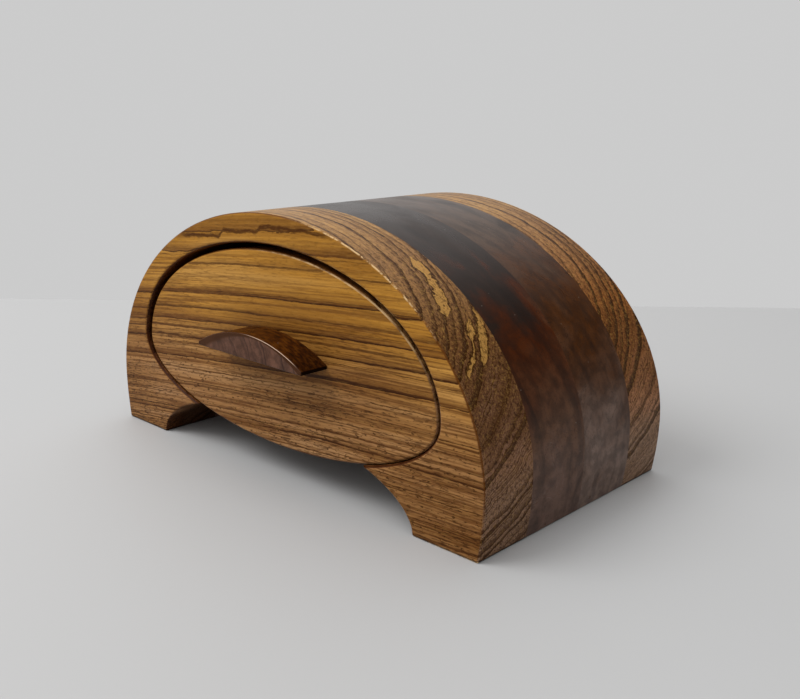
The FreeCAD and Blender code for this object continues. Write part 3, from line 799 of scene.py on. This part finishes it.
def striped_wood(name, heart, seed, end_shade, dry_and_sheen, flames=()):
    finish, tree, shader = new_finish(name)
    at = measure_board(tree, heart, seed)
    colour = golden_ground(tree, at)
    colour = face_tones(tree, at, colour, end_shade, dry_and_sheen)
    colour = late_wood(tree, at, colour)
    colour = grain_lines(tree, at, colour, flames)
    if flames:
        colour = ragged_line(tree, at, colour)
    colour, fibre, pore = fibre_and_pores(tree, at, colour)
    colour = end_specks(tree, at, colour)
    colour = stain_and_painted_shade(tree, at, colour)
    colour = worn_and_highlit_edges(tree, at, colour)
    colour = gap_shade_and_rim_highlight(tree, at, colour)
    roughness = ramp(tree, fibre, 0.2, 0.8, 0.40, 0.30)
    relief = figure(tree, "SUBTRACT", product(tree, fibre, 0.5), product(tree, pore, 0.6))
    lay_on(tree, shader, colour, roughness, relief, STRIPED_RELIEF, RELIEF_DEPTH)
    shader.inputs["Specular IOR Level"].default_value = STRIPED_GLOSS
    print(name, "has", len(tree.nodes), "nodes")
    return finish


front_striped = striped_wood(
    "front_striped",
    heart=(-87.5, 105.0),
    seed=(0.0, 0.0, 0.0),
    end_shade=tone(0.80, 0.73, 0.98),
    dry_and_sheen=0.48,
    flames=FRONT_FLAMES,
)
rear_striped = striped_wood(
    "rear_striped",
    heart=(0.0, 90.0),
    seed=(310.0, 47.0, 91.0),
    end_shade=tone(1.28, 0.97, 0.92),
    dry_and_sheen=0.80,
)

# %% [markdown]
# ## Dark wood
# The two middle boards are dark walnut. Its heartwood changes slowly from near black high up,
# through red brown, to a grey brown low down, which is partly the wood and partly a painted
# reflection of the table. One brown with noise over it would look dead, so a drifting height picks
# the tone, soft growth layers shade it, and fine pores and a few specks of dust lie on top.

# %% The dark finish
BOX_HEIGHT = 104.0
DRIFT = 45.0
DARK_LATE = tone(0.012, 0.006, 0.004)
DARK_MOTTLE = tone(0.014, 0.006, 0.003)
DARK_PORE = tone(0.008, 0.004, 0.003)
DUST = tone(0.45, 0.40, 0.34)
DARK_GLOSS = 0.15
DARK_RELIEF = 0.2


def dark_wood(name, heart, seed, heights, turn=0.0, gloss=DARK_GLOSS, marks=None):
    finish, tree, shader = new_finish(name)
    place, normal = place_in_board(tree, turn)
    layer, _ = layers(tree, place, normal, heart, seed)
    inputs = {"Scale": 0.035, "Detail": 5.0, "Distortion": 1.5}
    inputs["Vector"] = stretched(tree, place, 0.6, seed)
    swirl = add_node(tree, "ShaderNodeTexNoise", inputs).outputs["Fac"]
    drifting = figure(tree, "ADD", parts_of(tree, place)["Z"], spread(tree, swirl, DRIFT))
    colour = colour_steps(tree, figure(tree, "DIVIDE", drifting, BOX_HEIGHT), heights)
    late = ramp(tree, layer_noise(tree, layer, 0.16, 4.0), 0.55, 0.32)
    late = product(tree, late, ramp(tree, swirl, 0.35, 0.65, 0.1, 0.6))
    colour = blend(tree, late, colour, DARK_LATE)
    mottle = cloud(tree, stretched(tree, place, 0.35, seed), 0.22, 3.0, 0.6)
    colour = blend(tree, ramp(tree, mottle, 0.35, 0.65, 0.45, 0.0), colour, DARK_MOTTLE)
    pore = ramp(tree, cloud(tree, stretched(tree, place, 0.15, seed), 2.2, 1.0), 0.60, 0.72)
    colour = blend(tree, product(tree, pore, 0.5), colour, DARK_PORE)
    if marks:
        colour = marks(tree, place, normal, layer, colour)
    grains = add_node(tree, "ShaderNodeTexVoronoi", {"Vector": place, "Scale": 0.2})
    dust = ramp(tree, grains.outputs["Distance"], 0.045, 0.025)
    colour = blend(tree, product(tree, dust, 0.5), colour, DUST)
    roughness = ramp(tree, swirl, 0.3, 0.7, 0.26, 0.36)
    lay_on(tree, shader, colour, roughness, product(tree, pore, -0.5), DARK_RELIEF, RELIEF_DEPTH)
    shader.inputs["Specular IOR Level"].default_value = gloss
    print(name, "has", len(tree.nodes), "nodes")
    return finish


# The lowest steps are lighter and greyer: partly the wood, partly a painted reflection of the table
FRONT_HEIGHTS = (
    (0.10, tone(0.165, 0.090, 0.062)),
    (0.35, tone(0.130, 0.058, 0.028)),
    (0.66, tone(0.077, 0.015, 0.0005)),
    (0.80, tone(0.026, 0.012, 0.007)),
)
REAR_HEIGHTS = (
    (0.10, tone(0.225, 0.145, 0.110)),
    (0.40, tone(0.113, 0.052, 0.027)),
    (0.65, tone(0.085, 0.025, 0.003)),
    (0.95, tone(0.090, 0.050, 0.030)),
)
DARK_HEART = (-160.0, 20.0)
front_dark = dark_wood("front_dark", DARK_HEART, (120.0, 0.0, 33.0), FRONT_HEIGHTS)
rear_dark = dark_wood("rear_dark", DARK_HEART, (-260.0, 15.0, 8.0), REAR_HEIGHTS)

# %% [markdown]
# ## The pull
# The half-moon pull is a slip of the same walnut, turned so that its grain runs from front to back.
# Its front shows soft upright lines and a dark band under its upper edge. Its top and end are
# painted darker, as painted shade, and a painted highlight runs along the edge between front and
# top. It could have a finish of its own, but it is the same wood: so the dark finish is used again
# with its pattern turned a quarter circle, and these marks are laid over it.

# %% The front of the pull
PULL_RING = 2.2
PULL_LINE = tone(0.026, 0.013, 0.010)
PULL_ARC_BAND = tone(0.050, 0.016, 0.003)
ARC_MIDDLE = 6.5
ARC_RADIUS = 53.6


def pull_lines(tree, spot, layer, colour):
    # Soft upright lines, fainter to the left
    through, lot = growth_rings(tree, layer, PULL_RING, UNEVENNESS)
    soft = product(tree, ramp(tree, through, 0.15, 1.0), ramp(tree, lot, 0.1, 0.9, 0.05, 0.75))
    soft = product(tree, soft, ramp(tree, spot["Y"], -20.0, 6.0, 0.35, 1.0))
    return blend(tree, soft, colour, PULL_LINE)


def dark_arc_band(tree, spot, not_front, colour):
    # A dark band along the upper edge of the front, which narrows to the right
    raised = figure(tree, "SUBTRACT", spot["Z"], ARC_MIDDLE)
    squares = product(tree, spot["Y"], spot["Y"])
    squares = figure(tree, "MULTIPLY_ADD", raised, raised, squares)
    below_arc = figure(tree, "SUBTRACT", ARC_RADIUS, figure(tree, "SQRT", squares))
    width = ramp(tree, spot["Y"], -26.0, 12.0, 3.4, 0.8)
    arc_band = ramp(tree, below_arc, width, product(tree, width, 0.45))
    arc_band = product(tree, arc_band, figure(tree, "MULTIPLY_ADD", not_front, -0.9, 0.9))
    return blend(tree, arc_band, colour, PULL_ARC_BAND)


print("the pull's arc has a radius of", ARC_RADIUS, "mm")

# %% The pull's lines, painted shade and painted highlight
QUARTER_TURN = math.radians(90)
PULL_TOP_GRAIN_AND_SHADE = (
    (0.36, tone(0.016, 0.004, 0.0005)),
    (0.50, tone(0.052, 0.012, 0.001)),
    (0.64, tone(0.110, 0.034, 0.003)),
)
PULL_END_SHADE = tone(0.006, 0.002, 0.001)
PULL_RIM_HIGHLIGHT = tone(0.680, 0.480, 0.350)
PULL_HEIGHTS = (
    (0.30, tone(0.120, 0.058, 0.038)),
    (0.60, tone(0.155, 0.072, 0.045)),
)
PULL_GLOSS = 0.06


def pull_lines_and_painted_light(tree, place, normal, layer, colour):
    # After the quarter turn, X runs from back to front and Y from left to right
    spot, facing = parts_of(tree, place), parts_of(tree, normal)
    colour = pull_lines(tree, spot, layer, colour)
    lengthwise, _ = place_in_board(tree)
    streaks = cloud(tree, stretched(tree, lengthwise, 0.22), 0.9, 4.0, 0.65)
    # Painted shade: the top is darker than the front, with streaks along the grain, and darker
    # still towards the right end
    top = colour_steps(tree, streaks, PULL_TOP_GRAIN_AND_SHADE)
    top = blend(tree, ramp(tree, spot["Y"], 14.0, 32.0, 0.0, 0.45), top, PULL_END_SHADE)
    not_front = ramp(tree, facing["X"], 0.75, 0.45)
    colour = blend(tree, not_front, colour, top)
    # Painted shade on the end and on the steep parts that turn away
    ends = product(tree, ramp(tree, facing["Z"], 0.72, 0.30), not_front)
    colour = blend(tree, ends, colour, PULL_END_SHADE)
    colour = dark_arc_band(tree, spot, not_front, colour)
    lean = figure(tree, "ABSOLUTE", facing["X"])
    # Painted highlight along the rounded edge between the front and the top
    rim = product(
        tree,
        ramp(tree, lean, 0.42, 0.54),
        ramp(tree, lean, 0.82, 0.68),
        ramp(tree, facing["Z"], 0.10, 0.25),
        ramp(tree, spot["Y"], -4.0, 8.0),
        ramp(tree, spot["Y"], 29.0, 24.0, 0.0, 0.9),
    )
    return blend(tree, rim, colour, PULL_RIM_HIGHLIGHT)


pull_dark = dark_wood(
    "pull_dark",
    heart=(-109.0, 5.0),
    seed=(77.0, 5.0, 3.0),
    heights=PULL_HEIGHTS,
    turn=QUARTER_TURN,
    gloss=PULL_GLOSS,
    marks=pull_lines_and_painted_light,
)

# %% [markdown]
# ## Dowels and pins
# Two short dowels hold the pull, and two brass pins carry the tipping floor. They hardly show in
# the closed box, and one plain colour each could do. But a part may be taken to pieces, so they get
# a finish of their own: bare pale wood with its fibre along the dowel, and drawn brass with fine
# streaks along the pin and a little tarnish.

# %% Bare dowel wood
DOWEL_STEPS = (
    (0.35, tone(0.480, 0.310, 0.160)),
    (0.65, tone(0.690, 0.510, 0.320)),
)
DOWEL_RELIEF = 0.3


def bare_wood(name, turn):
    finish, tree, shader = new_finish(name)
    place, _ = place_in_board(tree, turn)
    fibre = cloud(tree, stretched(tree, place, 0.06), 1.6, 3.0)
    colour = colour_steps(tree, fibre, DOWEL_STEPS)
    roughness = ramp(tree, fibre, 0.3, 0.7, 0.70, 0.55)
    lay_on(tree, shader, colour, roughness, fibre, DOWEL_RELIEF, RELIEF_DEPTH)
    print(name, "has", len(tree.nodes), "nodes")
    return finish


dowel_wood = bare_wood("dowel_wood", QUARTER_TURN)

# %% Drawn brass
BRASS_STEPS = (
    (0.35, tone(0.420, 0.270, 0.100)),
    (0.60, tone(0.720, 0.530, 0.250)),
)
BRASS_RELIEF = 0.15
BRASS_DEPTH = 0.00005


def drawn_brass(name):
    finish, tree, shader = new_finish(name)
    place, _ = place_in_board(tree)
    drawn = cloud(tree, stretched(tree, place, 0.05), 4.0, 3.0)
    colour = colour_steps(tree, cloud(tree, place, 0.5, 3.0), BRASS_STEPS)
    roughness = ramp(tree, drawn, 0.3, 0.7, 0.42, 0.24)
    lay_on(tree, shader, colour, roughness, drawn, BRASS_RELIEF, BRASS_DEPTH)
    shader.inputs["Metallic"].default_value = 1.0
    print(name, "has", len(tree.nodes), "nodes")
    return finish


pin_brass = drawn_brass("pin_brass")

# %% [markdown]
# ## Dressing the boards
# Every board of the frame has one slot for its finish. The meshes stay as they came, so the box
# keeps its measured shape; only what is in the slot changes. The drawer's boards were sawn from the
# same layers as the frame's, so each takes the finish of the board that it was cut from, and the
# stripes run on across the gap.

# %% Dress the boards
FINISHES = {
    "front_slab": front_striped,
    "drawer_front": front_striped,
    "drawer_slab_front": front_striped,
    "rear_slab": rear_striped,
    "back_panel": rear_striped,
    "drawer_slab_rear": rear_striped,
    "drawer_back": rear_striped,
    "core_board_front": front_dark,
    "drawer_core_front": front_dark,
    "core_board_rear": rear_dark,
    "drawer_core_rear": rear_dark,
    "drawer_pull": pull_dark,
    "false_floor": front_dark,
    "pull_dowels": dowel_wood,
    "pivot_pins": pin_brass,
}
for board, finish in FINISHES.items():
    boards[board].material_slots[0].material = finish
print("finishes given to", len(FINISHES), "of", len(boards), "boards")
